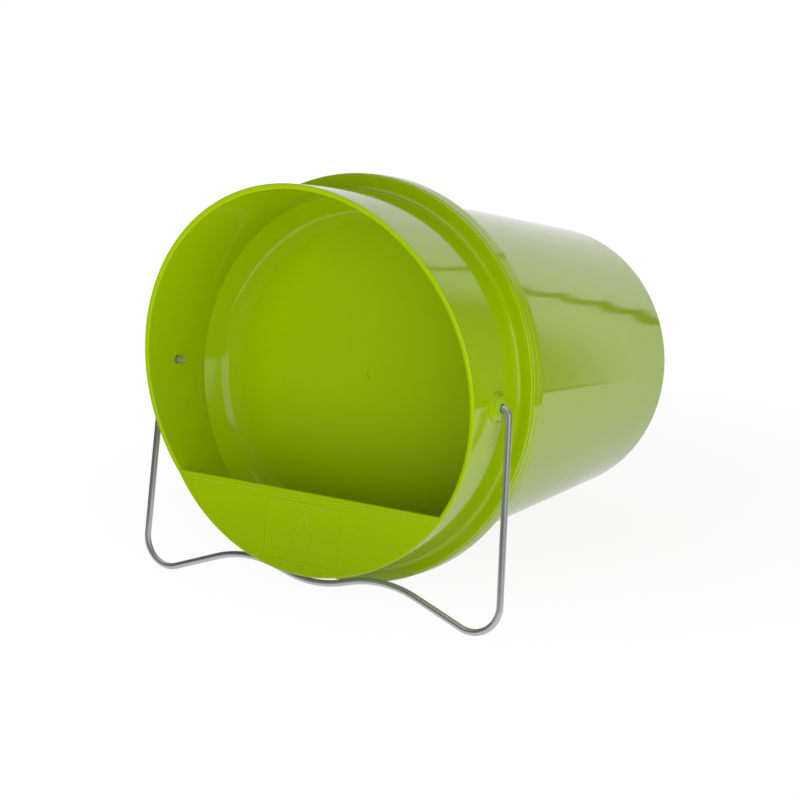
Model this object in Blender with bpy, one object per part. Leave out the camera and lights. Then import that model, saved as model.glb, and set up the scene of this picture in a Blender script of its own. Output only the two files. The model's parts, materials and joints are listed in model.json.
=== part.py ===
"""Poultry drinker: a bucket with a hooded drinking lid, laid on its side on a wire bail.

Each piece is modelled standing upright, as the bucket stands to be filled: +Z along the bucket's axis,
+X to the right, and +Y towards the side that is uppermost once the drinker lies down. The bucket has its
zero under its foot, the lid and its seal have theirs under the flange, and the bail on its pivots. One
empty then tips the whole drinker forward, until it rests on the bail's two feet and on the edge of the
bucket's base. All sizes are in metres.
"""

from math import asin, atan2, ceil, copysign, cos, hypot, pi, radians, sin, tan

import bmesh
import bpy
from mathutils import Matrix, Vector

# Fits
SEAT_GAP = 0.0003          # between faces that touch
RING_CLEARANCE = 0.0005    # lid's ring in the bucket's mouth, on the radius
PIVOT_CLEARANCE = 0.00065  # bail's wire in its holes, on the radius

# Bucket
BUCKET_HEIGHT = 0.2857
BASE_RADIUS = 0.1046
MOUTH_RADIUS = 0.1292
BUCKET_WALL = 0.0022
BASE_THICKNESS = 0.0026
FOOT_WIDTH = 0.0070
FOOT_HEIGHT = 0.0030
FOOT_ROUND = 0.0018
INNER_ROUND = 0.0070       # where the wall runs into the base, inside
LEDGE_CLEARANCE = 0.0030   # lid's ring down to the ledge in the mouth
LEDGE_WIDTH = 0.0038
LEDGE_HEIGHT = 0.0030
RIM_WIDTH = 0.0102         # mouth out to the skirt's face
RIM_THICKNESS = 0.0022
RIM_ROUND = 0.0010
SKIRT_DEPTH = 0.0124
SKIRT_WALL = 0.0020
GROOVE_DEPTH = 0.0056      # rim down to the fine groove round the skirt
GROOVE_SIZE = 0.0004

# Rubber seal, in a rebate of the bucket's rim
SEAL_WIDTH = 0.0070
SEAL_THICKNESS = 0.0017

# Drinking lid
LID_WALL = 0.0026
RIM_WALL = 0.0034          # collar's wall at its rim
FLANGE_THICKNESS = 0.0022
FLANGE_INSET = 0.0005      # flange's edge inside the skirt's face
FLANGE_ROUND = 0.0011
RING_DEPTH = 0.0100        # ring that enters the mouth, below the flange
RING_CHAMFER = 0.0010
COLLAR_LENGTH = 0.0598     # flange's face to the middle of the collar's rim
COLLAR_FLARE = 0.0013      # how far the collar opens towards its rim
ROOT_FILLET = 0.0034
RIM_SLANT = radians(10.3)  # the rim leans forward over the trough
CREASE_DEPTH = 0.0029      # flange's face down to the start of the recess
RECESS_SLOPE = 0.0125      # crease in to the edge of the recess floor
RECESS_DEPTH = 0.0214      # flange's face down to the recess floor
RECESS_FILLET = 0.0070
WEIR_DROP = 0.0729         # bucket's axis down to the top of the weir
WEIR_BAND = 0.0033         # leaning strip along the weir's top edge
WEIR_THICKNESS = 0.0028
WATER_HOLE_RADIUS = 0.0060
WATER_HOLE_INSET = 0.0150  # edge of the recess floor in to the middle of the hole
PIVOT_SETBACK = 0.0319     # middle of the rim back to the bail's axis
BOSS_RADIUS = 0.0080
BOSS_DRAFT = 0.0010        # how much wider the boss is at its foot
BOSS_HEIGHT = 0.0029

# Wire bail, by the corners of the wire's centre line before they are rounded
WIRE_RADIUS = 0.00225
STUB_LENGTH = 0.0020       # wire's end inside the collar
NECK_LENGTH = 0.0050       # boss's face out to the leg
FOOT_SPREAD = 0.0063       # neck out to the foot's corner
FOOT_DROP = 0.0172         # dip's corner down to the foot's corner
CREST_RISE = 0.0156        # dip's corner up to the crest's corner
CREST_REACH = 0.0563       # middle out to the crest's corner
DIP_GAP = 0.0070           # collar's rim down to the wire at the dip's corner
NECK_BEND = 0.0060
FOOT_BEND = 0.0200
CREST_BEND = 0.0800
DIP_BEND = 0.0780

# Fineness of the meshes
TURN_STEPS = 64
BOSS_STEPS = 32
HOLE_STEPS = 24
PROFILE_STEP = radians(23)
WIRE_STEP = radians(9)
WIRE_BEVEL = 2

# Sizes that follow from those above, in the bucket's upright frame
SKIRT_RADIUS = MOUTH_RADIUS + RIM_WIDTH
REBATE_DEPTH = SEAL_THICKNESS + SEAT_GAP
LID_SEAT = BUCKET_HEIGHT + SEAT_GAP

# Sizes that follow from those above, in the lid's frame
RING_RADIUS = MOUTH_RADIUS - RING_CLEARANCE
FLANGE_RADIUS = SKIRT_RADIUS - FLANGE_INSET
SEAL_INNER = RING_RADIUS + SEAT_GAP
SEAL_OUTER = SEAL_INNER + SEAL_WIDTH
REBATE_RADIUS = SEAL_OUTER + SEAT_GAP
COLLAR_RADIUS = RING_RADIUS + COLLAR_FLARE
RIM_MIDDLE = FLANGE_THICKNESS + COLLAR_LENGTH
CREASE = FLANGE_THICKNESS - CREASE_DEPTH
RECESS_FLOOR = FLANGE_THICKNESS - RECESS_DEPTH
RECESS_RADIUS = RING_RADIUS - LID_WALL - RECESS_SLOPE
WEIR_FACE = RIM_MIDDLE - (WEIR_DROP + WEIR_BAND) * tan(RIM_SLANT)
PIVOT_HEIGHT = RIM_MIDDLE - PIVOT_SETBACK
BOSS_FACE = COLLAR_RADIUS + BOSS_HEIGHT
MARGIN = 0.010             # how far a cutter runs past what it cuts
REACH = SKIRT_RADIUS + MARGIN

# Name, colour, roughness and metallic value of each material
GREEN_PLASTIC = ("green_plastic", (0.223, 0.392, 0.004), 0.22, 0.0)
GALVANISED_WIRE = ("galvanised_wire", (0.560, 0.570, 0.580), 0.34, 1.0)
BLACK_RUBBER = ("black_rubber", (0.020, 0.020, 0.020), 0.70, 0.0)


def make_material(name, colour, roughness, metallic):
    material = bpy.data.materials.new(name)
    material.use_nodes = True
    shader = material.node_tree.nodes["Principled BSDF"]
    shader.inputs["Base Color"].default_value = (*colour, 1.0)
    shader.inputs["Roughness"].default_value = roughness
    shader.inputs["Metallic"].default_value = metallic
    return material


def add_object(name, data):
    item = bpy.data.objects.new(name, data)
    bpy.context.collection.objects.link(item)
    return item


def rounded(corners, step):
    """Points of an outline whose corners (x, y, radius) are rounded, or left sharp at radius 0."""
    points = []
    for i, (x, y, radius) in enumerate(corners):
        corner = Vector((x, y))
        if radius == 0:
            points.append(tuple(corner))
            continue
        back = (Vector(corners[i - 1][:2]) - corner).normalized()
        ahead = (Vector(corners[(i + 1) % len(corners)][:2]) - corner).normalized()
        half = back.angle(ahead) / 2
        centre = corner + (back + ahead).normalized() * radius / sin(half)
        spoke = corner + back * radius / tan(half) - centre
        sweep = copysign(pi - 2 * half, ahead.cross(back))
        steps = ceil(abs(sweep) / step)
        turns = [sweep * n / steps for n in range(steps + 1)]
        points += [tuple(centre + Matrix.Rotation(turn, 2) @ spoke) for turn in turns]
    return points


def turned(name, corners):
    """A solid turned about Z. Its section runs up the inside and down the outside."""
    points = [(r, 0.0, z) for r, z in rounded(corners, PROFILE_STEP)]
    edges = [(i, i + 1) for i in range(len(points) - 1)]
    if points[0][0] > 0:
        edges.append((len(points) - 1, 0))
    mesh = bpy.data.meshes.new(name)
    mesh.from_pydata(points, edges, [])
    item = add_object(name, mesh)
    screw = item.modifiers.new("turn", "SCREW")
    screw.steps = TURN_STEPS
    screw.render_steps = TURN_STEPS
    screw.use_merge_vertices = True
    screw.merge_threshold = 0.00001
    return item


def prism(name, outline):
    """An outline (y, z) carried along X, right across the drinker."""
    shape = bmesh.new()
    face = shape.faces.new([shape.verts.new((-REACH, y, z)) for y, z in outline])
    carried = bmesh.ops.extrude_face_region(shape, geom=[face])["geom"]
    far_side = [part for part in carried if isinstance(part, bmesh.types.BMVert)]
    bmesh.ops.translate(shape, verts=far_side, vec=(2 * REACH, 0, 0))
    bmesh.ops.recalc_face_normals(shape, faces=shape.faces)
    return finish_mesh(name, shape)


def cone(name, start, end, start_radius, end_radius, steps):
    """A cone, or a cylinder, from one point to another."""
    start, end = Vector(start), Vector(end)
    turn = (end - start).to_track_quat("Z", "Y").to_matrix().to_4x4()
    place = Matrix.Translation((start + end) / 2) @ turn
    shape = bmesh.new()
    bmesh.ops.create_cone(
        shape, cap_ends=True, segments=steps, radius1=start_radius, radius2=end_radius,
        depth=(end - start).length, matrix=place,
    )
    return finish_mesh(name, shape)


def finish_mesh(name, shape):
    mesh = bpy.data.meshes.new(name)
    shape.to_mesh(mesh)
    shape.free()
    return add_object(name, mesh)


def combine(item, other, operation):
    """Join, cut or trim one shape with another, and remove the other."""
    step = item.modifiers.new(other.name, "BOOLEAN")
    step.operation = operation
    step.object = other
    apply_modifiers(item)
    bpy.data.objects.remove(other)


def apply_modifiers(item):
    bpy.context.view_layer.update()
    graph = bpy.context.evaluated_depsgraph_get()
    item.data = bpy.data.meshes.new_from_object(item.evaluated_get(graph), depsgraph=graph)
    item.modifiers.clear()


def finish_piece(item, material, holder, height):
    """Give a piece its material and smooth shading, and seat it at its height on the axis."""
    apply_modifiers(item)
    item.data.name = item.name
    item.data.materials.clear()
    item.data.materials.append(material)
    item.data.shade_smooth()
    item.data.set_sharp_from_angle(angle=radians(30))
    item.parent = holder
    item.location.z = height


def make_bucket():
    """Tapered bucket with a foot ring, a wider mouth for the lid's ring, and a skirt round its rim."""
    ledge = BUCKET_HEIGHT - RING_DEPTH - LEDGE_CLEARANCE
    wall_top = ledge - LEDGE_HEIGHT
    outer_top = MOUTH_RADIUS + BUCKET_WALL - LEDGE_WIDTH
    lean = atan2(outer_top - BASE_RADIUS, wall_top)
    inner_offset = BUCKET_WALL / cos(lean)
    inner_base = FOOT_HEIGHT + BASE_THICKNESS
    rebate = BUCKET_HEIGHT - REBATE_DEPTH
    under_rim = rebate - RIM_THICKNESS
    groove = BUCKET_HEIGHT - GROOVE_DEPTH
    skirt_foot = BUCKET_HEIGHT - SKIRT_DEPTH
    skirt_inside = SKIRT_RADIUS - SKIRT_WALL
    foot_inside = BASE_RADIUS - FOOT_WIDTH
    return turned("bucket", [
        (0, inner_base, 0),
        (BASE_RADIUS + inner_base * tan(lean) - inner_offset, inner_base, INNER_ROUND),
        (outer_top - inner_offset, wall_top, 0),
        (MOUTH_RADIUS, ledge, 0),
        (MOUTH_RADIUS, rebate, 0),
        (REBATE_RADIUS, rebate, 0),
        (REBATE_RADIUS, BUCKET_HEIGHT, 0),
        (SKIRT_RADIUS, BUCKET_HEIGHT, RIM_ROUND),
        (SKIRT_RADIUS, groove + GROOVE_SIZE, 0),
        (SKIRT_RADIUS - GROOVE_SIZE, groove, 0),
        (SKIRT_RADIUS, groove - GROOVE_SIZE, 0),
        (SKIRT_RADIUS, skirt_foot, 0),
        (skirt_inside, skirt_foot, 0),
        (skirt_inside, under_rim, 0),
        (MOUTH_RADIUS + BUCKET_WALL, under_rim, 0),
        (MOUTH_RADIUS + BUCKET_WALL, ledge, 0),
        (outer_top, wall_top, 0),
        (BASE_RADIUS, 0, FOOT_ROUND),
        (foot_inside, 0, 0),
        (foot_inside, FOOT_HEIGHT, 0),
        (0, FOOT_HEIGHT, 0),
    ])


def make_seal():
    """Flat rubber ring, stretched round the lid's ring under its flange."""
    top = -SEAT_GAP
    foot = top - SEAL_THICKNESS
    return turned("lid_seal", [
        (SEAL_OUTER, top, 0),
        (SEAL_OUTER, foot, 0),
        (SEAL_INNER, foot, 0),
        (SEAL_INNER, top, 0),
    ])


def collar_outside(height):
    """Radius of the collar's outside, which opens a little from the flange to its rim."""
    return RING_RADIUS + COLLAR_FLARE * (height - FLANGE_THICKNESS) / COLLAR_LENGTH


def collar_inside(height):
    """Radius of the collar's inside, whose wall grows a little towards the rim."""
    wall = LID_WALL + (RIM_WALL - LID_WALL) * (height - CREASE) / (RIM_MIDDLE - CREASE)
    return collar_outside(height) - wall


def make_lid():
    """Drinking lid, one moulding: recessed panel, flange, hooded collar, weir and pivot bosses."""
    collar_end = RIM_MIDDLE + COLLAR_RADIUS * tan(RIM_SLANT) + MARGIN
    crease_radius = collar_inside(CREASE)
    slope = (crease_radius - RECESS_RADIUS) / (CREASE - RECESS_FLOOR)
    under_offset = LID_WALL * hypot(1, slope)
    under_floor = RECESS_FLOOR - LID_WALL
    ring_inside = RING_RADIUS - LID_WALL
    lid = turned("drinking_lid", [
        (0, RECESS_FLOOR, 0),
        (RECESS_RADIUS, RECESS_FLOOR, RECESS_FILLET),
        (crease_radius, CREASE, 0),
        (collar_inside(collar_end), collar_end, 0),
        (collar_outside(collar_end), collar_end, 0),
        (RING_RADIUS, FLANGE_THICKNESS, ROOT_FILLET),
        (FLANGE_RADIUS, FLANGE_THICKNESS, FLANGE_ROUND),
        (FLANGE_RADIUS, 0, 0),
        (RING_RADIUS, 0, 0),
        (RING_RADIUS, RING_CHAMFER - RING_DEPTH, 0),
        (RING_RADIUS - RING_CHAMFER, -RING_DEPTH, 0),
        (ring_inside, -RING_DEPTH, 0),
        (ring_inside, CREASE - (crease_radius + under_offset - ring_inside) / slope, 0),
        (RECESS_RADIUS + under_offset - LID_WALL * slope, under_floor, RECESS_FILLET + LID_WALL),
        (0, under_floor, 0),
    ])
    combine(lid, weir_slab(), "UNION")
    for side in (-1, 1):
        boss = cone(
            "boss", (side * (COLLAR_RADIUS - RIM_WALL / 2), 0, PIVOT_HEIGHT),
            (side * BOSS_FACE, 0, PIVOT_HEIGHT), BOSS_RADIUS + BOSS_DRAFT, BOSS_RADIUS, BOSS_STEPS,
        )
        combine(lid, boss, "UNION")
    combine(lid, rim_cutter(collar_end + MARGIN), "DIFFERENCE")
    hole = WIRE_RADIUS + PIVOT_CLEARANCE
    pivots = (-REACH, 0, PIVOT_HEIGHT), (REACH, 0, PIVOT_HEIGHT)
    combine(lid, cone("pivot_holes", *pivots, hole, hole, HOLE_STEPS), "DIFFERENCE")
    drop = RECESS_RADIUS - WATER_HOLE_INSET
    water_way = (0, -drop, RECESS_FLOOR - MARGIN), (0, -drop, RECESS_FLOOR + MARGIN)
    water_hole = cone("water_hole", *water_way, WATER_HOLE_RADIUS, WATER_HOLE_RADIUS, HOLE_STEPS)
    combine(lid, water_hole, "DIFFERENCE")
    return lid


def weir_slab():
    """Wall across the lower part of the collar, running into the middle of the collar's own wall."""
    back = WEIR_FACE - WEIR_THICKNESS
    front = RIM_MIDDLE + MARGIN
    slab = prism("weir", [(-REACH, back), (-WEIR_DROP, back), (-WEIR_DROP, front), (-REACH, front)])
    radius = COLLAR_RADIUS - RIM_WALL / 2
    inside = cone("weir_edge", (0, 0, 0), (0, 0, front + MARGIN), radius, radius, TURN_STEPS)
    combine(slab, inside, "INTERSECT")
    return slab


def rim_cutter(top):
    """What lies in front of the rim: a plane across the weir, and a slanted one above it."""
    bend = -WEIR_DROP - WEIR_BAND
    return prism("rim_cutter", [
        (-REACH, WEIR_FACE),
        (bend, WEIR_FACE),
        (REACH, RIM_MIDDLE + REACH * tan(RIM_SLANT)),
        (REACH, top + MARGIN),
        (-REACH, top + MARGIN),
    ])


def bail_line():
    """Centre line (x, y) of the wire, from one end round to the other."""
    neck = BOSS_FACE + NECK_LENGTH
    dip = COLLAR_RADIUS + WIRE_RADIUS + DIP_GAP
    left = [
        (STUB_LENGTH - collar_inside(PIVOT_HEIGHT), 0, 0),
        (-neck, 0, NECK_BEND),
        (-neck - FOOT_SPREAD, -dip - FOOT_DROP, FOOT_BEND),
        (-CREST_REACH, -dip + CREST_RISE, CREST_BEND),
    ]
    right = [(-x, y, bend) for x, y, bend in reversed(left)]
    return rounded(left + [(0, -dip, DIP_BEND)] + right, WIRE_STEP)


def make_bail(line):
    """Wire bail, one bent wire whose ends turn in the lid's bosses."""
    curve = bpy.data.curves.new("wire_bail", "CURVE")
    curve.dimensions = "3D"
    curve.bevel_depth = WIRE_RADIUS
    curve.bevel_resolution = WIRE_BEVEL
    curve.use_fill_caps = True
    spline = curve.splines.new("POLY")
    spline.points.add(len(line) - 1)
    for point, (x, y) in zip(spline.points, line):
        point.co = (x, y, 0, 1)
    wire = add_object("wire", curve)
    graph = bpy.context.evaluated_depsgraph_get()
    mesh = bpy.data.meshes.new_from_object(wire.evaluated_get(graph), depsgraph=graph)
    bpy.data.objects.remove(wire)
    return add_object("wire_bail", mesh)


def resting_tilt(foot_drop):
    """Angle of the axis above the ground that touches both the bail's feet and the base's edge."""
    run = LID_SEAT + PIVOT_HEIGHT - FOOT_ROUND
    rise = foot_drop - (BASE_RADIUS - FOOT_ROUND)
    return atan2(rise, run) + asin((WIRE_RADIUS - FOOT_ROUND) / hypot(run, rise))


def lay_down(holder, pieces, tilt):
    """Tip the drinker onto its feet and bring the middle of its underside to the origin."""
    holder.rotation_euler.x = pi / 2 - tilt
    bpy.context.view_layer.update()
    corners = [piece.matrix_world @ vertex.co for piece in pieces for vertex in piece.data.vertices]
    front, back = min(c.y for c in corners), max(c.y for c in corners)
    holder.location = (0, -(front + back) / 2, -min(c.z for c in corners))
    bpy.context.view_layer.update()


def main():
    for item in list(bpy.data.objects):
        bpy.data.objects.remove(item)
    holder = add_object("upright_frame", None)
    line = bail_line()
    bucket, lid, seal, bail = make_bucket(), make_lid(), make_seal(), make_bail(line)
    finish_piece(bucket, make_material(*GREEN_PLASTIC), holder, 0)
    finish_piece(lid, make_material(*GREEN_PLASTIC), holder, LID_SEAT)
    finish_piece(seal, make_material(*BLACK_RUBBER), holder, LID_SEAT)
    finish_piece(bail, make_material(*GALVANISED_WIRE), holder, LID_SEAT + PIVOT_HEIGHT)
    lay_down(holder, (bucket, lid, seal, bail), resting_tilt(max(-y for _, y in line)))


main()
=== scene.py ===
"""Poultry drinker: a lime-green bucket lying on its wire bail, with a hooded drinking lid.

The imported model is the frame, and each operator shapes one piece around its part of it. A piece is shaped as
the bucket stands when it is filled, +Z along the bucket's axis and +Y towards the side that ends uppermost.
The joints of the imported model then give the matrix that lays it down. Sizes are in metres.
"""

import json
from math import atan2, ceil, copysign, cos, hypot, pi, radians, sin, tan

import bmesh
import bpy
from bpy.props import FloatProperty, FloatVectorProperty, PointerProperty
from mathutils import Matrix, Vector


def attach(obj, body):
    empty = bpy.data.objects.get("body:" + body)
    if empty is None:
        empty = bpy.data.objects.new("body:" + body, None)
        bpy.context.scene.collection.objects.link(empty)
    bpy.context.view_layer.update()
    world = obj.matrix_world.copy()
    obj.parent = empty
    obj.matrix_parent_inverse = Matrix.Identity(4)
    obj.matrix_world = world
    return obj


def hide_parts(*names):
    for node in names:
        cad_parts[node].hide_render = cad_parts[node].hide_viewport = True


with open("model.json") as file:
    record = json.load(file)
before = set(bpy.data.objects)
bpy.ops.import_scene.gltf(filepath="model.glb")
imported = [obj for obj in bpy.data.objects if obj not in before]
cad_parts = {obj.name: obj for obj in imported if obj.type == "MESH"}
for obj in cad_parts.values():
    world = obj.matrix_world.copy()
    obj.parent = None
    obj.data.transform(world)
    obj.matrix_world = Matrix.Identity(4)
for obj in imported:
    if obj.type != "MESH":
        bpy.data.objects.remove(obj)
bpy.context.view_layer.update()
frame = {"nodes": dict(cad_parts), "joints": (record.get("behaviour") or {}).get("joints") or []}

bl_info = {
    "name": "Poultry Drinker",
    "version": (1, 0, 0),
    "blender": (4, 5, 0),
    "location": "View3D > Sidebar > Drinker",
    "description": "Models a bucket drinker for poultry, with its drinking lid, seal and wire bail",
    "category": "Add Mesh",
}

# Fits
SEAT_GAP = 0.0003          # between faces that touch
RING_CLEARANCE = 0.0005    # lid's ring in the bucket's mouth, on the radius
PIVOT_CLEARANCE = 0.00065  # bail's wire in its holes, on the radius

# Bucket
BUCKET_WALL = 0.0022
BASE_THICKNESS = 0.0026
FOOT_WIDTH = 0.0070
FOOT_HEIGHT = 0.0030
FOOT_ROUND = 0.0018
FOOT_INNER_ROUND = 0.0008
FOOT_FILLET = 0.0012       # where the foot ring's inside meets the base
INNER_ROUND = 0.0070       # where the wall runs into the base, inside
LEDGE_DEPTH = 0.0130       # rim down to the ledge under the lid's ring
LEDGE_WIDTH = 0.0038
LEDGE_HEIGHT = 0.0030
LEDGE_BEND = 0.0010        # bends where the wall steps out to the mouth
RIM_THICKNESS = 0.0022
RIM_ROUND = 0.0010
UNDER_RIM_FILLET = 0.0012
SKIRT_WALL = 0.0020
SKIRT_OUTER_ROUND = 0.0007
SKIRT_INNER_ROUND = 0.0006
GROOVE_DEPTH = 0.0056      # rim down to the fine groove round the skirt
GROOVE_SIZE = 0.0004
REBATE_DEPTH = 0.0020      # step in the rim that the seal lies in
REBATE_WIDTH = 0.0076
REBATE_ROUND = 0.0004

# Stub left where the plastic was let into each mould
GATE_RADIUS = 0.0016
GATE_HEIGHT = 0.0007
GATE_ROUND = 0.0004
GATE_FILLET = 0.0003

# Drinking lid
LID_WALL = 0.0026
RIM_WALL = 0.0034          # collar's wall at its rim
RIM_EDGE_ROUND = 0.0012
FLANGE_THICKNESS = 0.0022
FLANGE_INSET = 0.0005      # flange's edge inside the skirt's face
FLANGE_ROUND = 0.0011
FLANGE_UNDER_ROUND = 0.0003
RING_DEPTH = 0.0100        # ring that enters the mouth, below the flange
RING_CHAMFER = 0.0010
RING_ROUND = 0.0004
COLLAR_FLARE = 0.0013      # how far the collar opens towards its rim
ROOT_FILLET = 0.0034       # where the collar stands on the flange
CREASE_DEPTH = 0.0029      # flange's face down to the start of the recess
CREASE_ROUND = 0.0008
UNDER_CREASE_ROUND = 0.0005
RECESS_SLOPE = 0.0125      # crease in to the edge of the recess floor
RECESS_FILLET = 0.0180
WEIR_BAND = 0.0033         # leaning strip along the weir's top edge
WEIR_THICKNESS = 0.0028
WEIR_EDGE_ROUND = 0.0007   # top edge of the weir, on the trough's side
WATER_HOLE_RADIUS = 0.0060
WATER_HOLE_INSET = 0.0150  # edge of the recess floor in to the middle of the hole
BOSS_DRAFT = 0.0010        # how much wider the boss is at its foot, on the radius
BOSS_HEIGHT = 0.0029       # boss's face, out from the collar's radius at its rim
BOSS_ROUND = 0.0009
BOSS_FILLET = 0.0008
BOSS_FOOT_LIFT = 0.0001    # boss's foot, out from the same radius
BOSS_APRON = 0.0012        # how far the boss spreads past its foot
BOSS_APRON_SINK = 0.0004   # edge of that spread, in from the same radius
HOLE_EDGE_ROUND = 0.0004

# Raised marks on the weir, as x and y seen from in front, with y measured up from the axis
BEAD_RADIUS = 0.0015       # small enough for the sunk line to stay inside the weir's wall
BEAD_RELIEF = 0.0003       # how far the line stands out of the face
TAB_MIDDLE = 0.0010
TAB_WIDTH = 0.0600
TAB_TOP = -0.0810
TAB_HEIGHT = 0.0405
TAB_TOP_ROUND = 0.0040
TAB_FOOT_ROUND = 0.0020
DROP_TIP = -0.0875
DROP_MIDDLE = -0.1035      # middle of the drop's round belly
DROP_RADIUS = 0.0078
DROP_SHOULDER = radians(28)  # from straight up to where the belly starts
PIP_MIDDLE = 0.0017
PIP_WIDTH = 0.0030
PIP_TOP = -0.1235
PIP_HEIGHT = 0.0027

# Wire bail, by the corners of the wire's centre line before they are rounded
STUB_LENGTH = 0.0048       # wire's end inside the collar
NECK_LENGTH = 0.0050       # boss's face out to the leg
FOOT_SPREAD = 0.0063       # neck out to the foot's corner
FOOT_DROP = 0.0172         # dip's corner down to the foot's corner
CREST_RISE = 0.0156        # dip's corner up to the crest's corner
CREST_REACH = 0.0563       # middle out to the crest's corner
DIP_GAP = 0.0070           # collar's rim down to the wire at the dip's corner
NECK_BEND = 0.0060
FOOT_BEND = 0.0200
CREST_BEND = 0.0800
DIP_BEND = 0.0780
WIRE_END = (0.0, 0.80), (0.0002, 0.93), (0.0005, 1.0)  # way in from the cut, share of the radius there

# Stage
CAMERA_PLACE = (0.71419, -1.20901, 0.46081)
CAMERA_TURN = (radians(75.75), radians(-0.0969), radians(31.7485))
SENSOR_WIDTH = 36          # millimetres
KEY_PLACE = (1.70, -1.06, 0.60)
KEY_AIM = (0.0, -0.05, 0.12)
KEY_SIZE = (1.6, 1.2)
FRONT_WAY = (0.49, -0.72, -0.50)  # where the front fill comes from
FLOOR_RADIUS = 0.46
FLOOR_BACK = 0.16          # how far the floor's middle lies behind the drinker's
FLOOR_FADE_START = 0.15    # from the floor's middle
FLOOR_FADE_END = 0.44
FLOOR_WHITE = 0.91         # share of plain white at the floor's middle, and the rest is card
FLOOR_MIRRORED = 0.75      # the same as gloss shows it, as a share of that
BOARD_BACK = 0.55
BOARD_HEIGHT = 1.2
BOARD_LEFT = -0.90
BOARD_RIGHT = 0.50
BOARD_GAP = 0.020
BOARD_UNEVEN = 0.12
BOARD_FADE_START = 0.225
BOARD_FADE_END = 0.355
BOARD_FADE_TO = 0.15
SEAM_PLACE = 0.154         # left board's edge, scalloped all the way up
SEAM_WAVE = 0.011
SEAM_REPEAT = 0.047
SEAM_STEP = 0.003

# Fineness of the meshes
TURN_STEPS = 192
SMALL_STEPS = 48
DROP_STEPS = 40
FLOOR_STEPS = 96
PROFILE_STEP = radians(9)
WIRE_STEP = radians(3)
WIRE_BEVEL = 6
BEAD_BEVEL = 3
MARGIN = 0.010             # how far a cutter runs past what it cuts
WELD_GAP = 0.00001         # points nearer to each other than this are one point
CUT_WELD_GAP = 0.00003     # the same where the lid's cuts cross
NEAR_WALL = 0.0001         # how near a point lies to the wall that it is counted to
NEAR_EDGE = 0.00005        # the same for the rim's height and a hole's edge
NEAR_FACE = 0.00001        # the same for the weir's flat faces
ROUNDED_FOLD = radians(40)  # an edge that folds less than this isn't rounded
SHADED_FOLD = radians(32)   # an edge that folds more than this shows as an edge


def linear(hex_colour):
    """An sRGB colour written as #RRGGBB, as the linear values that shaders use."""
    values = [int(hex_colour[i:i + 2], 16) / 255 for i in (1, 3, 5)]
    return tuple(v / 12.92 if v <= 0.04045 else ((v + 0.055) / 1.055) ** 2.4 for v in values)


def length(name, default, description):
    """A length in metres that shows in the panel."""
    return FloatProperty(name=name, default=default, description=description, min=0.0,
                         precision=4, subtype="DISTANCE", unit="LENGTH")


def colour(name, default, description):
    """A colour, given as hex, that shows in the panel."""
    return FloatVectorProperty(name=name, default=linear(default), description=description,
                               subtype="COLOR", min=0.0, max=1.0)


class DrinkerSizes(bpy.types.PropertyGroup):
    """The sizes that set the drinker's shape."""

    bucket_height: length("Bucket height", 0.2857, "Foot of the bucket up to its rim")
    base_radius: length("Base radius", 0.1046, "Outside of the bucket at its foot")
    mouth_radius: length("Mouth radius", 0.1292, "Inside of the bucket's mouth")
    rim_width: length("Rim width", 0.0102, "Inside of the mouth out to the skirt's face")
    skirt_depth: length("Skirt depth", 0.0124, "Height of the skirt round the rim")
    collar_length: length("Collar length", 0.0598, "Flange up to the middle of the collar's rim")
    recess_depth: length("Recess depth", 0.0214, "Flange down to the floor of the recess")
    weir_drop: length("Weir drop", 0.0729, "Axis down to the top of the front wall")
    pivot_setback: length("Pivot setback", 0.0319, "Middle of the rim back to the bail's axis")
    boss_radius: length("Boss radius", 0.0080, "Round boss that each end of the bail turns in")
    wire_radius: length("Wire radius", 0.00225, "Half the thickness of the bail's wire")
    rim_slant: FloatProperty(name="Rim slant", default=radians(10.3), subtype="ANGLE", unit="ROTATION",
                             description="How far the collar's rim leans out over the trough")


class DrinkerFinish(bpy.types.PropertyGroup):
    """The colours and the gloss of the plastic and the rubber."""

    plastic: colour("Plastic", "#8FAC00", "Lime green that the plastic is coloured with right through")
    rubber: colour("Rubber", "#1E1E1D", "Black rubber of the seal")
    gloss: FloatProperty(name="Plastic roughness", default=0.06, min=0.0, max=1.0, subtype="FACTOR",
                         description="Roughness where the mould was best polished")


class DrinkerStage(bpy.types.PropertyGroup):
    """The studio round the drinker."""

    front_fill: FloatProperty(name="Front fill", default=1.91, min=0.0,
                              description="Strength of the soft light from in front of the drinker")
    back_fill: FloatProperty(name="Back fill", default=0.30, min=0.0,
                             description="Strength of the soft light from behind the drinker")
    key: FloatProperty(name="Key light", default=7.6, min=0.0, unit="POWER",
                       description="Power of the large lamp beside the camera")
    lens: FloatProperty(name="Lens", default=88.892, min=1.0, unit="CAMERA",
                        description="Focal length of the camera in millimetres")


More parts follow.
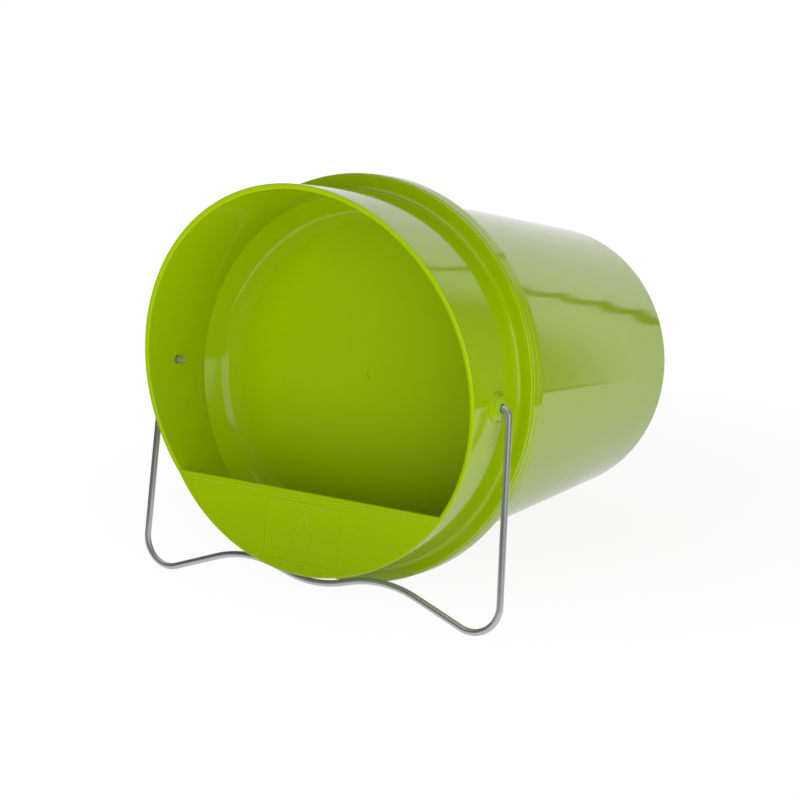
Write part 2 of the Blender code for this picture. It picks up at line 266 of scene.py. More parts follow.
class Shape:
    """The sizes that follow from the ones in the panel."""

    def __init__(self, sizes):
        self.skirt_radius = sizes.mouth_radius + sizes.rim_width
        self.lid_seat = sizes.bucket_height + SEAT_GAP
        self.ring_radius = sizes.mouth_radius - RING_CLEARANCE
        self.flange_radius = self.skirt_radius - FLANGE_INSET
        self.collar_radius = self.ring_radius + COLLAR_FLARE
        self.rim_middle = FLANGE_THICKNESS + sizes.collar_length
        self.crease = FLANGE_THICKNESS - CREASE_DEPTH
        self.recess_floor = FLANGE_THICKNESS - sizes.recess_depth
        self.recess_radius = self.ring_radius - LID_WALL - RECESS_SLOPE
        self.weir_face = self.rim_middle - (sizes.weir_drop + WEIR_BAND) * tan(sizes.rim_slant)
        self.pivot_height = self.rim_middle - sizes.pivot_setback
        self.boss_face = self.collar_radius + BOSS_HEIGHT
        self.reach = self.skirt_radius + MARGIN
        self.collar_length = sizes.collar_length
        self.rim_slant = sizes.rim_slant

    def collar_outside(self, height):
        """Radius of the collar's outside, which opens a little from the flange to its rim."""
        return self.ring_radius + COLLAR_FLARE * (height - FLANGE_THICKNESS) / self.collar_length

    def collar_inside(self, height):
        """Radius of the collar's inside, whose wall grows a little towards the rim."""
        share = (height - self.crease) / (self.rim_middle - self.crease)
        return self.collar_outside(height) - LID_WALL - (RIM_WALL - LID_WALL) * share

    def rim_height(self, y):
        """Height of the rim, which is slanted above the weir and flat across it."""
        return max(self.weir_face, self.rim_middle + y * tan(self.rim_slant))

    def laid_down(self):
        """Matrix that lays an upright piece down, from the lid's slide and the bail's pivots."""
        joints = {joint["name"]: joint for joint in frame["joints"]}
        along = Vector(joints["lid_pull"]["axis"]).normalized()
        across = Vector(joints["bail_swing"]["axis"]).normalized()
        turn = Matrix((across, along.cross(across), along)).transposed().to_4x4()
        foot = Vector(joints["bail_swing"]["pos_m"]) - along * (self.lid_seat + self.pivot_height)
        return Matrix.Translation(foot) @ turn


def add_object(name, data):
    item = bpy.data.objects.new(name, data)
    bpy.context.scene.collection.objects.link(item)
    return item


def finish_mesh(name, shape):
    mesh = bpy.data.meshes.new(name)
    shape.to_mesh(mesh)
    shape.free()
    return add_object(name, mesh)


def rounded(corners, step):
    """Points of an outline whose corners (x, y, radius) are rounded, or left sharp at radius 0."""
    points = []
    for i, (x, y, radius) in enumerate(corners):
        corner = Vector((x, y))
        if radius == 0:
            points.append(tuple(corner))
            continue
        back = (Vector(corners[i - 1][:2]) - corner).normalized()
        ahead = (Vector(corners[(i + 1) % len(corners)][:2]) - corner).normalized()
        half = back.angle(ahead) / 2
        centre = corner + (back + ahead).normalized() * radius / sin(half)
        spoke = corner + back * radius / tan(half) - centre
        sweep = copysign(pi - 2 * half, ahead.cross(back))
        steps = ceil(abs(sweep) / step)
        turns = [sweep * n / steps for n in range(steps + 1)]
        points += [tuple(centre + Matrix.Rotation(turn, 2) @ spoke) for turn in turns]
    return points


def turned(name, corners, steps=TURN_STEPS):
    """A solid turned about Z, from a section that runs up the inside and down the outside."""
    points = [(radius, 0.0, z) for radius, z in rounded(corners, PROFILE_STEP)]
    edges = [(i, i + 1) for i in range(len(points) - 1)]
    if points[0][0] > 0:
        edges.append((len(points) - 1, 0))
    mesh = bpy.data.meshes.new(name)
    mesh.from_pydata(points, edges, [])
    item = add_object(name, mesh)
    screw = item.modifiers.new("turn", "SCREW")
    screw.steps = steps
    screw.render_steps = steps
    screw.use_merge_vertices = True
    screw.merge_threshold = WELD_GAP
    apply_modifiers(item)
    weld(item)
    return item


def prism(name, outline, reach):
    """An outline (y, z) carried along X, right across the drinker."""
    shape = bmesh.new()
    face = shape.faces.new([shape.verts.new((-reach, y, z)) for y, z in outline])
    carried = bmesh.ops.extrude_face_region(shape, geom=[face])["geom"]
    far_side = [part for part in carried if isinstance(part, bmesh.types.BMVert)]
    bmesh.ops.translate(shape, verts=far_side, vec=(2 * reach, 0, 0))
    bmesh.ops.recalc_face_normals(shape, faces=shape.faces)
    return finish_mesh(name, shape)


def cylinder(name, start, end, radius, steps):
    start, end = Vector(start), Vector(end)
    turn = (end - start).to_track_quat("Z", "Y").to_matrix().to_4x4()
    shape = bmesh.new()
    bmesh.ops.create_cone(shape, cap_ends=True, segments=steps, radius1=radius, radius2=radius,
                          depth=(end - start).length, matrix=Matrix.Translation((start + end) / 2) @ turn)
    return finish_mesh(name, shape)


def combine(item, other, operation):
    """Join, cut or trim one shape with another, and remove the other."""
    step = item.modifiers.new(other.name, "BOOLEAN")
    step.operation = operation
    step.object = other
    apply_modifiers(item)
    bpy.data.objects.remove(other)


def apply_modifiers(item):
    bpy.context.view_layer.update()
    graph = bpy.context.evaluated_depsgraph_get()
    item.data = bpy.data.meshes.new_from_object(item.evaluated_get(graph), depsgraph=graph)
    item.modifiers.clear()


def weld(item, gap=WELD_GAP):
    """Join points that lie on top of each other, and drop the slivers that this leaves."""
    shape = bmesh.new()
    shape.from_mesh(item.data)
    bmesh.ops.remove_doubles(shape, verts=shape.verts, dist=gap)
    bmesh.ops.dissolve_degenerate(shape, dist=gap, edges=shape.edges)
    shape.to_mesh(item.data)
    shape.free()


def round_edges(item, chosen, width, segments):
    """Round the sharp edges whose two ends the test picks out."""
    shape = bmesh.new()
    shape.from_mesh(item.data)
    edges = [edge for edge in shape.edges
             if len(edge.link_faces) == 2 and edge.calc_face_angle() > ROUNDED_FOLD
             and all(chosen(*vertex.co) for vertex in edge.verts)]
    if not edges:
        raise RuntimeError(f"{item.name} has no edge to round here")
    bmesh.ops.bevel(shape, geom=edges, offset=width, offset_type="OFFSET", segments=segments,
                    profile=0.5, affect="EDGES", clamp_overlap=False)
    shape.to_mesh(item.data)
    shape.free()


def place(item, material, shape, height, body, nodes):
    """Lay a piece down at its height on the axis, and let it stand for its part of the frame."""
    item.data.transform(shape.laid_down() @ Matrix.Translation((0, 0, height)))
    item.data.name = item.name
    item.data.materials.clear()
    item.data.materials.append(material)
    item.data.shade_smooth()
    item.data.set_sharp_from_angle(angle=SHADED_FOLD)
    even = item.modifiers.new("even_shading", "WEIGHTED_NORMAL")
    even.keep_sharp = True
    even.weight = 80
    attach(item, body)
    if nodes:
        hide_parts(*nodes)


# Materials


def add_node(tree, kind, inputs=None, **settings):
    """Add a node with its settings, and give or link each of its inputs."""
    node = tree.nodes.new(kind)
    for name, value in settings.items():
        setattr(node, name, value)
    for name, value in (inputs or {}).items():
        if isinstance(value, bpy.types.NodeSocket):
            tree.links.new(value, node.inputs[name])
        else:
            node.inputs[name].default_value = value
    return node


def new_material(name):
    """An empty material, and the object's own coordinates in metres."""
    material = bpy.data.materials.new(name)
    material.use_nodes = True
    tree = material.node_tree
    tree.nodes.clear()
    return material, tree, add_node(tree, "ShaderNodeTexCoord").outputs["Object"]


def repeats(millimetres):
    """The scale of a pattern of this size: how often it fits in a metre."""
    return 1000 / millimetres


def moulded_polypropylene(finish):
    """Polypropylene, injection moulded in a polished mould.

    The colour goes right through and shifts a little where the plastic flowed. The skin is glossy, with a
    faint swell from the mould's polishing and a fine haze where it has been handled. A little light enters
    the plastic and comes out beside where it went in, most of it green.
    """
    name = "moulded_polypropylene"
    if name in bpy.data.materials:
        return bpy.data.materials[name]
    material, tree, place_on = new_material(name)
    plain = (*finish.plastic, 1.0)
    deeper = (*(0.93 * value for value in finish.plastic), 1.0)
    # Flow of the melt, about 110 mm from streak to streak
    flow = add_node(tree, "ShaderNodeTexNoise", {"Vector": place_on, "Scale": repeats(110), "Detail": 2.0})
    tint = add_node(tree, "ShaderNodeMix", {"Factor": flow.outputs["Fac"], "A": plain, "B": deeper},
                    data_type="RGBA")
    # Patches of handling haze, about 7 mm across
    haze = add_node(tree, "ShaderNodeTexNoise", {"Vector": place_on, "Scale": repeats(7), "Detail": 4.0})
    rough = add_node(tree, "ShaderNodeMapRange",
                     {"Value": haze.outputs["Fac"], "From Min": 0.35, "From Max": 0.75,
                      "To Min": finish.gloss, "To Max": finish.gloss + 0.05})
    # Swell left by polishing the mould by hand, about 45 mm from crest to crest and 0.06 mm deep
    swell = add_node(tree, "ShaderNodeTexNoise", {"Vector": place_on, "Scale": repeats(45), "Detail": 1.0})
    bump = add_node(tree, "ShaderNodeBump", {"Height": swell.outputs["Fac"], "Distance": 0.00006})
    skin = add_node(tree, "ShaderNodeBsdfPrincipled",
                    {"Base Color": tint.outputs[2], "Roughness": rough.outputs["Result"],
                     "Normal": bump.outputs["Normal"], "IOR": 1.49, "Subsurface Weight": 0.25,
                     "Subsurface Radius": (0.55, 1.0, 0.10), "Subsurface Scale": 0.002})
    add_node(tree, "ShaderNodeOutputMaterial", {"Surface": skin.outputs["BSDF"]})
    return material


def galvanised_wire():
    """Low-carbon steel wire, drawn and zinc coated, then bent.

    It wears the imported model's own material, a plain satin grey without crystals or runs in the zinc.
    """
    return bpy.data.materials["galvanised_wire"]


def moulded_rubber(finish):
    """Nitrile rubber, compression moulded: a dull black with a fine dusty bloom."""
    material, tree, place_on = new_material("moulded_rubber")
    # Dusty bloom, drawn 3 mm across: the real one, well under 1 mm, is too fine to show
    bloom = add_node(tree, "ShaderNodeTexNoise", {"Vector": place_on, "Scale": repeats(3), "Detail": 3.0})
    rough = add_node(tree, "ShaderNodeMapRange",
                     {"Value": bloom.outputs["Fac"], "To Min": 0.55, "To Max": 0.8})
    dusty = (*(min(1.0, 2.2 * value) for value in finish.rubber), 1.0)
    tint = add_node(tree, "ShaderNodeMix",
                    {"Factor": bloom.outputs["Fac"], "A": (*finish.rubber, 1.0), "B": dusty},
                    data_type="RGBA")
    skin = add_node(tree, "ShaderNodeBsdfPrincipled",
                    {"Base Color": tint.outputs[2], "Roughness": rough.outputs["Result"], "IOR": 1.52})
    add_node(tree, "ShaderNodeOutputMaterial", {"Surface": skin.outputs["BSDF"]})
    return material


# Pieces


def shape_bucket(sizes, shape):
    """Tapered bucket with a foot ring, a wider mouth for the lid's ring, and a skirt round its rim."""
    top, mouth, base = sizes.bucket_height, sizes.mouth_radius, sizes.base_radius
    ledge = top - LEDGE_DEPTH
    wall_top = ledge - LEDGE_HEIGHT
    outer_top = mouth + BUCKET_WALL - LEDGE_WIDTH
    lean = atan2(outer_top - base, wall_top)
    inner_offset = BUCKET_WALL / cos(lean)
    inner_base = FOOT_HEIGHT + BASE_THICKNESS
    rebate = top - REBATE_DEPTH
    under_rim = rebate - RIM_THICKNESS
    groove = top - GROOVE_DEPTH
    skirt_foot = top - sizes.skirt_depth
    skirt = shape.skirt_radius
    rebate_radius = shape.ring_radius + REBATE_WIDTH
    return turned("bucket_moulding", [
        (0, inner_base, 0),
        (base + inner_base * tan(lean) - inner_offset, inner_base, INNER_ROUND),
        (outer_top - inner_offset, wall_top, LEDGE_BEND),
        (mouth, ledge, LEDGE_BEND),
        (mouth, rebate, 0),
        (rebate_radius, rebate, 0),
        (rebate_radius, top, REBATE_ROUND),
        (skirt, top, RIM_ROUND),
        (skirt, groove + GROOVE_SIZE, 0),
        (skirt - GROOVE_SIZE, groove, 0),
        (skirt, groove - GROOVE_SIZE, 0),
        (skirt, skirt_foot, SKIRT_OUTER_ROUND),
        (skirt - SKIRT_WALL, skirt_foot, SKIRT_INNER_ROUND),
        (skirt - SKIRT_WALL, under_rim, UNDER_RIM_FILLET),
        (mouth + BUCKET_WALL, under_rim, UNDER_RIM_FILLET),
        (mouth + BUCKET_WALL, ledge, LEDGE_BEND),
        (outer_top, wall_top, LEDGE_BEND),
        (base, 0, FOOT_ROUND),
        (base - FOOT_WIDTH, 0, FOOT_INNER_ROUND),
        (base - FOOT_WIDTH, FOOT_HEIGHT, FOOT_FILLET),
        (GATE_RADIUS, FOOT_HEIGHT, GATE_FILLET),
        (GATE_RADIUS, FOOT_HEIGHT - GATE_HEIGHT, GATE_ROUND),
        (0, FOOT_HEIGHT - GATE_HEIGHT, 0),
    ])


def shape_lid(sizes, shape):
    """Drinking lid, one moulding: recessed panel, flange, hooded collar, weir and pivot bosses."""
    collar_end = shape.rim_middle + shape.collar_radius * tan(sizes.rim_slant) + MARGIN
    crease_radius = shape.collar_inside(shape.crease)
    slope = (crease_radius - shape.recess_radius) / (shape.crease - shape.recess_floor)
    under_offset = LID_WALL * hypot(1, slope)
    under_floor = shape.recess_floor - LID_WALL
    ring_inside = shape.ring_radius - LID_WALL
    under_crease = shape.crease - (crease_radius + under_offset - ring_inside) / slope
    lid = turned("drinking_lid_moulding", [
        (0, shape.recess_floor + GATE_HEIGHT, 0),
        (GATE_RADIUS, shape.recess_floor + GATE_HEIGHT, GATE_ROUND),
        (GATE_RADIUS, shape.recess_floor, GATE_FILLET),
        (shape.recess_radius, shape.recess_floor, RECESS_FILLET),
        (crease_radius, shape.crease, CREASE_ROUND),
        (shape.collar_inside(collar_end), collar_end, 0),
        (shape.collar_outside(collar_end), collar_end, 0),
        (shape.ring_radius, FLANGE_THICKNESS, ROOT_FILLET),
        (shape.flange_radius, FLANGE_THICKNESS, FLANGE_ROUND),
        (shape.flange_radius, 0, FLANGE_UNDER_ROUND),
        (shape.ring_radius, 0, 0),
        (shape.ring_radius, RING_CHAMFER - RING_DEPTH, RING_ROUND),
        (shape.ring_radius - RING_CHAMFER, -RING_DEPTH, RING_ROUND),
        (ring_inside, -RING_DEPTH, RING_ROUND),
        (ring_inside, under_crease, UNDER_CREASE_ROUND),
        (shape.recess_radius + under_offset - LID_WALL * slope, under_floor, RECESS_FILLET + LID_WALL),
        (0, under_floor, 0),
    ])
    combine(lid, weir_slab(sizes, shape), "UNION")
    for side in (-1, 1):
        combine(lid, boss(sizes, shape, side), "UNION")
    combine(lid, rim_cutter(sizes, shape, collar_end + MARGIN), "DIFFERENCE")
    hole = sizes.wire_radius + PIVOT_CLEARANCE
    pivots = (-shape.reach, 0, shape.pivot_height), (shape.reach, 0, shape.pivot_height)
    combine(lid, cylinder("pivot_holes", *pivots, hole, SMALL_STEPS), "DIFFERENCE")
    drop = shape.recess_radius - WATER_HOLE_INSET
    water_way = (0, -drop, shape.recess_floor - MARGIN), (0, -drop, shape.recess_floor + MARGIN)
    combine(lid, cylinder("water_hole", *water_way, WATER_HOLE_RADIUS, SMALL_STEPS), "DIFFERENCE")

    def on_rim(x, y, z):
        radius = hypot(x, y)
        inner = abs(radius - shape.collar_inside(z)) < NEAR_WALL and y > -sizes.weir_drop - NEAR_WALL
        outer = abs(radius - shape.collar_outside(z)) < NEAR_WALL
        weir_edge = abs(y + sizes.weir_drop) < NEAR_FACE and radius < shape.collar_inside(z) + NEAR_WALL
        return abs(z - shape.rim_height(y)) < NEAR_EDGE and (inner or outer or weir_edge)

    def on_weir_back(x, y, z):
        back = abs(z - shape.weir_face + WEIR_THICKNESS) < NEAR_FACE
        return back and abs(y + sizes.weir_drop) < NEAR_FACE

    def on_boss_hole(x, y, z):
        on_edge = abs(hypot(y, z - shape.pivot_height) - hole) < NEAR_EDGE
        return on_edge and abs(abs(x) - shape.boss_face) < NEAR_WALL

    weld(lid, CUT_WELD_GAP)
    round_edges(lid, on_rim, RIM_EDGE_ROUND, segments=5)
    round_edges(lid, on_weir_back, WEIR_EDGE_ROUND, segments=4)
    round_edges(lid, on_boss_hole, HOLE_EDGE_ROUND, segments=3)
    return lid


def weir_slab(sizes, shape):
    """Wall across the lower part of the collar, running into the middle of the collar's own wall."""
    back = shape.weir_face - WEIR_THICKNESS
    front = shape.rim_middle + MARGIN
    slab = prism("weir", [(-shape.reach, back), (-sizes.weir_drop, back), (-sizes.weir_drop, front),
                          (-shape.reach, front)], shape.reach)
    radius = shape.collar_radius - RIM_WALL / 2
    inside = cylinder("weir_edge", (0, 0, 0), (0, 0, front + MARGIN), radius, TURN_STEPS)
    combine(slab, inside, "INTERSECT")
    return slab


def boss(sizes, shape, side):
    """Round boss with a soft edge and a fillet at its foot."""
    foot = sizes.boss_radius + BOSS_DRAFT
    item = turned("boss", [
        (0, BOSS_HEIGHT, 0),
        (sizes.boss_radius, BOSS_HEIGHT, BOSS_ROUND),
        (foot, BOSS_FOOT_LIFT, BOSS_FILLET),
        (foot + BOSS_APRON, -BOSS_APRON_SINK, 0),
        (foot + BOSS_APRON, -RIM_WALL / 2, 0),
        (0, -RIM_WALL / 2, 0),
    ], SMALL_STEPS)
    turn = Matrix.Rotation(side * pi / 2, 4, "Y")
    item.data.transform(Matrix.Translation((side * shape.collar_radius, 0, shape.pivot_height)) @ turn)
    return item


def rim_cutter(sizes, shape, top):
    """What lies in front of the rim: a plane across the weir, and a slanted one above it."""
    return prism("rim_cutter", [
        (-shape.reach, shape.weir_face),
        (-sizes.weir_drop - WEIR_BAND, shape.weir_face),
        (shape.reach, shape.rim_middle + shape.reach * tan(sizes.rim_slant)),
        (shape.reach, top + MARGIN),
        (-shape.reach, top + MARGIN),
    ], shape.reach)


def bead(name, outline, closed):
    """A fine raised line along an outline (x, y), sunk in the weir's face but for its relief."""
    curve = bpy.data.curves.new(name, "CURVE")
    curve.dimensions = "3D"
    curve.bevel_depth = BEAD_RADIUS
    curve.bevel_resolution = BEAD_BEVEL
    curve.use_fill_caps = True
    spline = curve.splines.new("POLY")
    spline.points.add(len(outline) - 1)
    spline.use_cyclic_u = closed
    for point, (x, y) in zip(spline.points, outline):
        point.co = (x, y, 0, 1)
    return curve_to_mesh(name, curve)


def curve_to_mesh(name, curve):
    """A bevelled curve as a mesh of its own."""
    line = add_object(name, curve)
    graph = bpy.context.evaluated_depsgraph_get()
    mesh = bpy.data.meshes.new_from_object(line.evaluated_get(graph), depsgraph=graph)
    bpy.data.objects.remove(line)
    item = add_object(name, mesh)
    weld(item)
    return item


def drop_outline():
    """Outline of a water drop, 24 mm tall: a round belly that runs up to a point."""
    start, sweep = pi / 2 - DROP_SHOULDER, 2 * pi - 2 * DROP_SHOULDER
    angles = [start - sweep * n / DROP_STEPS for n in range(DROP_STEPS + 1)]
    belly = [(TAB_MIDDLE + DROP_RADIUS * cos(angle), DROP_MIDDLE + DROP_RADIUS * sin(angle))
             for angle in angles]
    return [(TAB_MIDDLE, DROP_TIP), *belly]


def weir_marks(sizes, shape):
    """Raised lines on the weir's face: a tab with a water drop in it, a pip under it, and the fold above."""
    left, right = TAB_MIDDLE - TAB_WIDTH / 2, TAB_MIDDLE + TAB_WIDTH / 2
    foot = TAB_TOP - TAB_HEIGHT
    tab = rounded([(left, TAB_TOP, TAB_TOP_ROUND), (left, foot, TAB_FOOT_ROUND),
                   (right, foot, TAB_FOOT_ROUND), (right, TAB_TOP, TAB_TOP_ROUND)], PROFILE_STEP)
    pip = [(PIP_MIDDLE - PIP_WIDTH / 2, PIP_TOP), (PIP_MIDDLE, PIP_TOP - PIP_HEIGHT),
           (PIP_MIDDLE + PIP_WIDTH / 2, PIP_TOP)]
    fold = -sizes.weir_drop - WEIR_BAND
    half = (shape.collar_inside(shape.weir_face) ** 2 - fold ** 2) ** 0.5
    return [
        bead("tab_line", tab, closed=True),
        bead("drop_line", drop_outline(), closed=True),
        bead("pip_line", pip, closed=True),
        bead("fold_line", [(-half, fold), (half, fold)], closed=False),
    ]


def shape_bail(sizes, shape):
    """Wire bail, one bent wire whose ends turn in the lid's bosses."""
    neck = shape.boss_face + NECK_LENGTH
    dip = shape.collar_radius + sizes.wire_radius + DIP_GAP
    left = [
        (STUB_LENGTH - shape.collar_inside(shape.pivot_height), 0, 0),
        (-neck, 0, NECK_BEND),
        (-neck - FOOT_SPREAD, -dip - FOOT_DROP, FOOT_BEND),
        (-CREST_REACH, -dip + CREST_RISE, CREST_BEND),
    ]
    right = [(-x, y, bend) for x, y, bend in reversed(left)]
    line = rounded(left + [(0, -dip, DIP_BEND)] + right, WIRE_STEP)
    left_end = [(line[0][0] + step, 0, size) for step, size in WIRE_END]
    right_end = [(-x, y, size) for x, y, size in reversed(left_end)]
    points = left_end + [(x, y, 1.0) for x, y in line[1:-1]] + right_end
    curve = bpy.data.curves.new("wire", "CURVE")
    curve.dimensions = "3D"
    curve.bevel_depth = sizes.wire_radius
    curve.bevel_resolution = WIRE_BEVEL
    curve.use_fill_caps = True
    spline = curve.splines.new("POLY")
    spline.points.add(len(points) - 1)
    for point, (x, y, size) in zip(spline.points, points):
        point.co = (x, y, 0, 1)
        point.radius = size
    return curve_to_mesh("bail_wire", curve)


class DRINKER_OT_bucket(bpy.types.Operator):
    """Mould the bucket and lay it on its side"""

    bl_idname = "drinker.bucket"
    bl_label = "Bucket"

    def execute(self, context):
        sizes = context.scene.drinker_sizes
        shape = Shape(sizes)
        plastic = moulded_polypropylene(context.scene.drinker_finish)
        place(shape_bucket(sizes, shape), plastic, shape, 0, "bucket", ["bucket"])
        return {"FINISHED"}


class DRINKER_OT_lid(bpy.types.Operator):
    """Mould the drinking lid, with the raised marks on its front wall"""

    bl_idname = "drinker.lid"
    bl_label = "Drinking lid"

    def execute(self, context):
        sizes = context.scene.drinker_sizes
        shape = Shape(sizes)
        plastic = moulded_polypropylene(context.scene.drinker_finish)
        place(shape_lid(sizes, shape), plastic, shape, shape.lid_seat, "lid",
              ["drinking_lid"])
        seat = shape.lid_seat + shape.weir_face - BEAD_RADIUS + BEAD_RELIEF
        for mark in weir_marks(sizes, shape):
            place(mark, plastic, shape, seat, "lid", [])
        return {"FINISHED"}


class DRINKER_OT_seal(bpy.types.Operator):
    """Give the rubber seal between bucket and lid its finish"""

    bl_idname = "drinker.seal"
    bl_label = "Seal"

    def execute(self, context):
        seal = frame["nodes"]["lid_seal"]
        seal.data.materials.clear()
        seal.data.materials.append(moulded_rubber(context.scene.drinker_finish))
        return {"FINISHED"}


class DRINKER_OT_bail(bpy.types.Operator):
    """Bend the wire bail and hang it in the lid's bosses"""

    bl_idname = "drinker.bail"
    bl_label = "Wire bail"

    def execute(self, context):
        sizes = context.scene.drinker_sizes
        shape = Shape(sizes)
        place(shape_bail(sizes, shape), galvanised_wire(), shape, shape.lid_seat + shape.pivot_height,
              "bail", ["wire_bail"])
        return {"FINISHED"}


class DRINKER_OT_stage(bpy.types.Operator):
    """Set up the floor, the light, the white surroundings and the camera"""

    bl_idname = "drinker.stage"
    bl_label = "Stage"

    def execute(self, context):
        scene = context.scene
        stage = scene.drinker_stage
        scene.view_settings.view_transform = "Standard"
        make_floor()
        make_boards()
        make_surroundings(scene, stage)
        add_softbox("key_lamp", stage.key, KEY_SIZE, KEY_PLACE, KEY_AIM)
        camera = bpy.data.cameras.new("camera")
        camera.lens = stage.lens
        camera.sensor_width = SENSOR_WIDTH
        view = add_object("camera", camera)
        view.location = CAMERA_PLACE
        view.rotation_euler = CAMERA_TURN
        scene.camera = view
        return {"FINISHED"}


def make_floor():
    """Round white card under the drinker. It keeps the soft shadow, and fades into the white round it."""
    shape = bmesh.new()
    bmesh.ops.create_circle(shape, cap_ends=True, segments=FLOOR_STEPS, radius=FLOOR_RADIUS)
    floor = finish_mesh("floor", shape)
    floor.location.y = FLOOR_BACK
    material, tree, place_on = new_material("white_card")
    seen = add_node(tree, "ShaderNodeLightPath")
    straight = add_node(tree, "ShaderNodeMath",
                        {0: seen.outputs["Is Camera Ray"], 1: seen.outputs["Is Transmission Ray"]},
                        operation="MAXIMUM")
    mirrored = add_node(tree, "ShaderNodeMath", {0: seen.outputs["Is Glossy Ray"], 1: FLOOR_MIRRORED},
                        operation="MULTIPLY")
    either = add_node(tree, "ShaderNodeMath", {0: straight.outputs[0], 1: mirrored.outputs[0]},
                      operation="MAXIMUM")
    away = add_node(tree, "ShaderNodeVectorMath", {0: place_on}, operation="LENGTH")
    fade = add_node(tree, "ShaderNodeMapRange",
                    {"Value": away.outputs["Value"], "From Min": FLOOR_FADE_START,
                     "From Max": FLOOR_FADE_END, "To Min": FLOOR_WHITE, "To Max": 1.0})
    share = add_node(tree, "ShaderNodeMath", {0: fade.outputs["Result"], 1: either.outputs[0]},
                     operation="MULTIPLY")
    card = add_node(tree, "ShaderNodeBsdfDiffuse", {"Color": (*linear("#EDEDED"), 1.0)})
    white = add_node(tree, "ShaderNodeEmission", {"Color": (*linear("#FFFFFF"), 1.0), "Strength": 1.0})
    mixed = add_node(tree, "ShaderNodeMixShader",
                     {0: share.outputs[0], 1: card.outputs["BSDF"], 2: white.outputs["Emission"]})
    add_node(tree, "ShaderNodeOutputMaterial", {"Surface": mixed.outputs["Shader"]})
    floor.data.materials.append(material)


def make_boards():
    """Two white boards behind the drinker, the right one dimmer towards its far side.

    Only the plastic's gloss and the bare metal show them, with the gap between their scalloped edges.
    """
    heights = [n * SEAM_STEP for n in range(round(BOARD_HEIGHT / SEAM_STEP) + 1)]
    seam = [(SEAM_PLACE + SEAM_WAVE * abs(sin(pi * z / SEAM_REPEAT)), z) for z in heights]
    far_seam = [(x + BOARD_GAP, z) for x, z in reversed(seam)]
    left = [(BOARD_LEFT, 0.0), *seam, (BOARD_LEFT, BOARD_HEIGHT)]
    right = [(BOARD_RIGHT, BOARD_HEIGHT), *far_seam, (BOARD_RIGHT, 0.0)]
    boards = ("left_board", left, 1.05, "#FDFAFF"), ("right_board", right, 0.92, "#FFFAF7")
    for name, outline, strength, white in boards:
        shape = bmesh.new()
        shape.faces.new([shape.verts.new((x, BOARD_BACK, z)) for x, z in outline])
        board = finish_mesh(name, shape)
        material, tree, place_on = new_material(name)
        # Uneven light on the board, in patches about 330 mm across
        grain = add_node(tree, "ShaderNodeTexNoise",
                         {"Vector": place_on, "Scale": repeats(330), "Detail": 2.0})
        level = add_node(tree, "ShaderNodeMapRange",
                         {"Value": grain.outputs["Fac"], "To Min": strength - BOARD_UNEVEN,
                          "To Max": strength + BOARD_UNEVEN})
        across = add_node(tree, "ShaderNodeSeparateXYZ", {0: place_on})
        fade = add_node(tree, "ShaderNodeMapRange",
                        {"Value": across.outputs["X"], "From Min": BOARD_FADE_START,
                         "From Max": BOARD_FADE_END, "To Min": 1.0, "To Max": BOARD_FADE_TO},
                        interpolation_type="SMOOTHSTEP")
        dimmed = add_node(tree, "ShaderNodeMath", {0: level.outputs["Result"], 1: fade.outputs["Result"]},
                          operation="MULTIPLY")
        glow = add_node(tree, "ShaderNodeEmission",
                        {"Color": (*linear(white), 1.0), "Strength": dimmed.outputs[0]})
        add_node(tree, "ShaderNodeOutputMaterial", {"Surface": glow.outputs["Emission"]})
        board.data.materials.append(material)
        board.visible_camera = False
        board.visible_diffuse = False
        board.visible_shadow = False


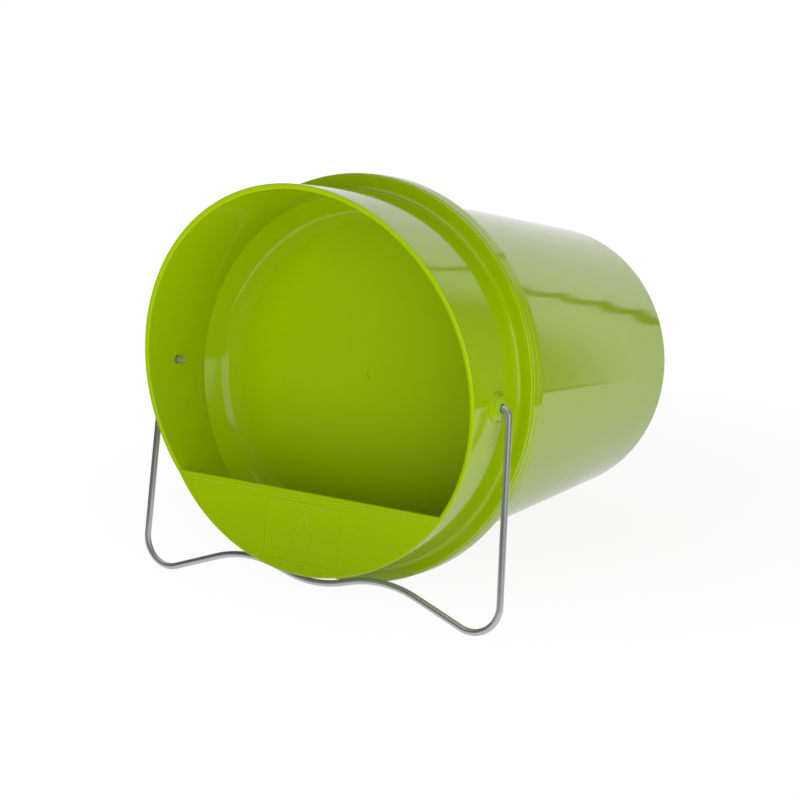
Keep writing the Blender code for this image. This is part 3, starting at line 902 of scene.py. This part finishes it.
def make_surroundings(scene, stage):
    """White to the camera, a soft light on everything, and dark in gloss but for a patch overhead."""
    world = bpy.data.worlds.new("surroundings")
    scene.world = world
    world.use_nodes = True
    tree = world.node_tree
    tree.nodes.clear()
    seen = add_node(tree, "ShaderNodeLightPath")
    way = add_node(tree, "ShaderNodeTexCoord").outputs["Generated"]
    axes = add_node(tree, "ShaderNodeSeparateXYZ", {0: way})
    # Patch overhead that gloss shows: it starts 49 degrees up and is full from 64
    above = add_node(tree, "ShaderNodeMapRange",
                     {"Value": axes.outputs["Z"], "From Min": 0.75, "From Max": 0.9,
                      "To Min": 0.02, "To Max": 0.9}, interpolation_type="SMOOTHSTEP")
    towards = add_node(tree, "ShaderNodeVectorMath", {0: way, 1: FRONT_WAY}, operation="DOT_PRODUCT")
    # Back fill, three times as strong right opposite the front fill, and even from 60 degrees off that.
    # The front fill is full within 60 degrees of its middle, and gone past 81
    behind = add_node(tree, "ShaderNodeMapRange",
                      {"Value": towards.outputs["Value"], "From Min": -1.0, "From Max": -0.5,
                       "To Min": 3.0 * stage.back_fill, "To Max": stage.back_fill})
    fill = add_node(tree, "ShaderNodeMapRange",
                    {"Value": towards.outputs["Value"], "From Min": 0.15, "From Max": 0.50,
                     "To Min": behind.outputs["Result"], "To Max": stage.front_fill},
                    interpolation_type="SMOOTHSTEP")
    glossy = add_node(tree, "ShaderNodeMix",
                      {"Factor": seen.outputs["Is Glossy Ray"], "A": fill.outputs["Result"],
                       "B": above.outputs["Result"]}, data_type="FLOAT")
    clear = add_node(tree, "ShaderNodeMath",
                     {0: seen.outputs["Is Camera Ray"], 1: seen.outputs["Is Transmission Ray"]},
                     operation="MAXIMUM")
    level = add_node(tree, "ShaderNodeMix", {"Factor": clear.outputs[0], "A": glossy.outputs[0], "B": 1.0},
                     data_type="FLOAT")
    white = add_node(tree, "ShaderNodeBackground",
                     {"Color": (*linear("#FFFFFF"), 1.0), "Strength": level.outputs[0]})
    add_node(tree, "ShaderNodeOutputWorld", {"Surface": white.outputs["Background"]})


def add_softbox(name, power, size, spot, aim):
    """A large lamp of a width and height at a spot, turned towards what it lights."""
    lamp = bpy.data.lights.new(name, "AREA")
    lamp.energy = power
    lamp.shape = "RECTANGLE"
    lamp.size, lamp.size_y = size
    item = add_object(name, lamp)
    item.location = spot
    item.rotation_euler = (Vector(aim) - Vector(spot)).to_track_quat("-Z", "Y").to_euler()


class DRINKER_PT_panel(bpy.types.Panel):
    """The drinker's pieces, sizes and colours"""

    bl_idname = "DRINKER_PT_panel"
    bl_label = "Poultry drinker"
    bl_space_type = "VIEW_3D"
    bl_region_type = "UI"
    bl_category = "Drinker"

    def draw(self, context):
        for operator in OPERATORS:
            self.layout.operator(operator.bl_idname)
        for group in (context.scene.drinker_sizes, context.scene.drinker_finish, context.scene.drinker_stage):
            box = self.layout.box()
            for name in group.__annotations__:
                box.prop(group, name)


OPERATORS = (DRINKER_OT_stage, DRINKER_OT_bucket, DRINKER_OT_lid, DRINKER_OT_seal, DRINKER_OT_bail)
CLASSES = (DrinkerSizes, DrinkerFinish, DrinkerStage, *OPERATORS, DRINKER_PT_panel)


def register():
    for item in CLASSES:
        bpy.utils.register_class(item)
    bpy.types.Scene.drinker_sizes = PointerProperty(type=DrinkerSizes)
    bpy.types.Scene.drinker_finish = PointerProperty(type=DrinkerFinish)
    bpy.types.Scene.drinker_stage = PointerProperty(type=DrinkerStage)


def unregister():
    del bpy.types.Scene.drinker_stage
    del bpy.types.Scene.drinker_finish
    del bpy.types.Scene.drinker_sizes
    for item in reversed(CLASSES):
        bpy.utils.unregister_class(item)


def main():
    register()
    bpy.ops.drinker.stage()
    bpy.ops.drinker.bucket()
    bpy.ops.drinker.lid()
    bpy.ops.drinker.seal()
    bpy.ops.drinker.bail()


if __name__ == "__main__":
    main()
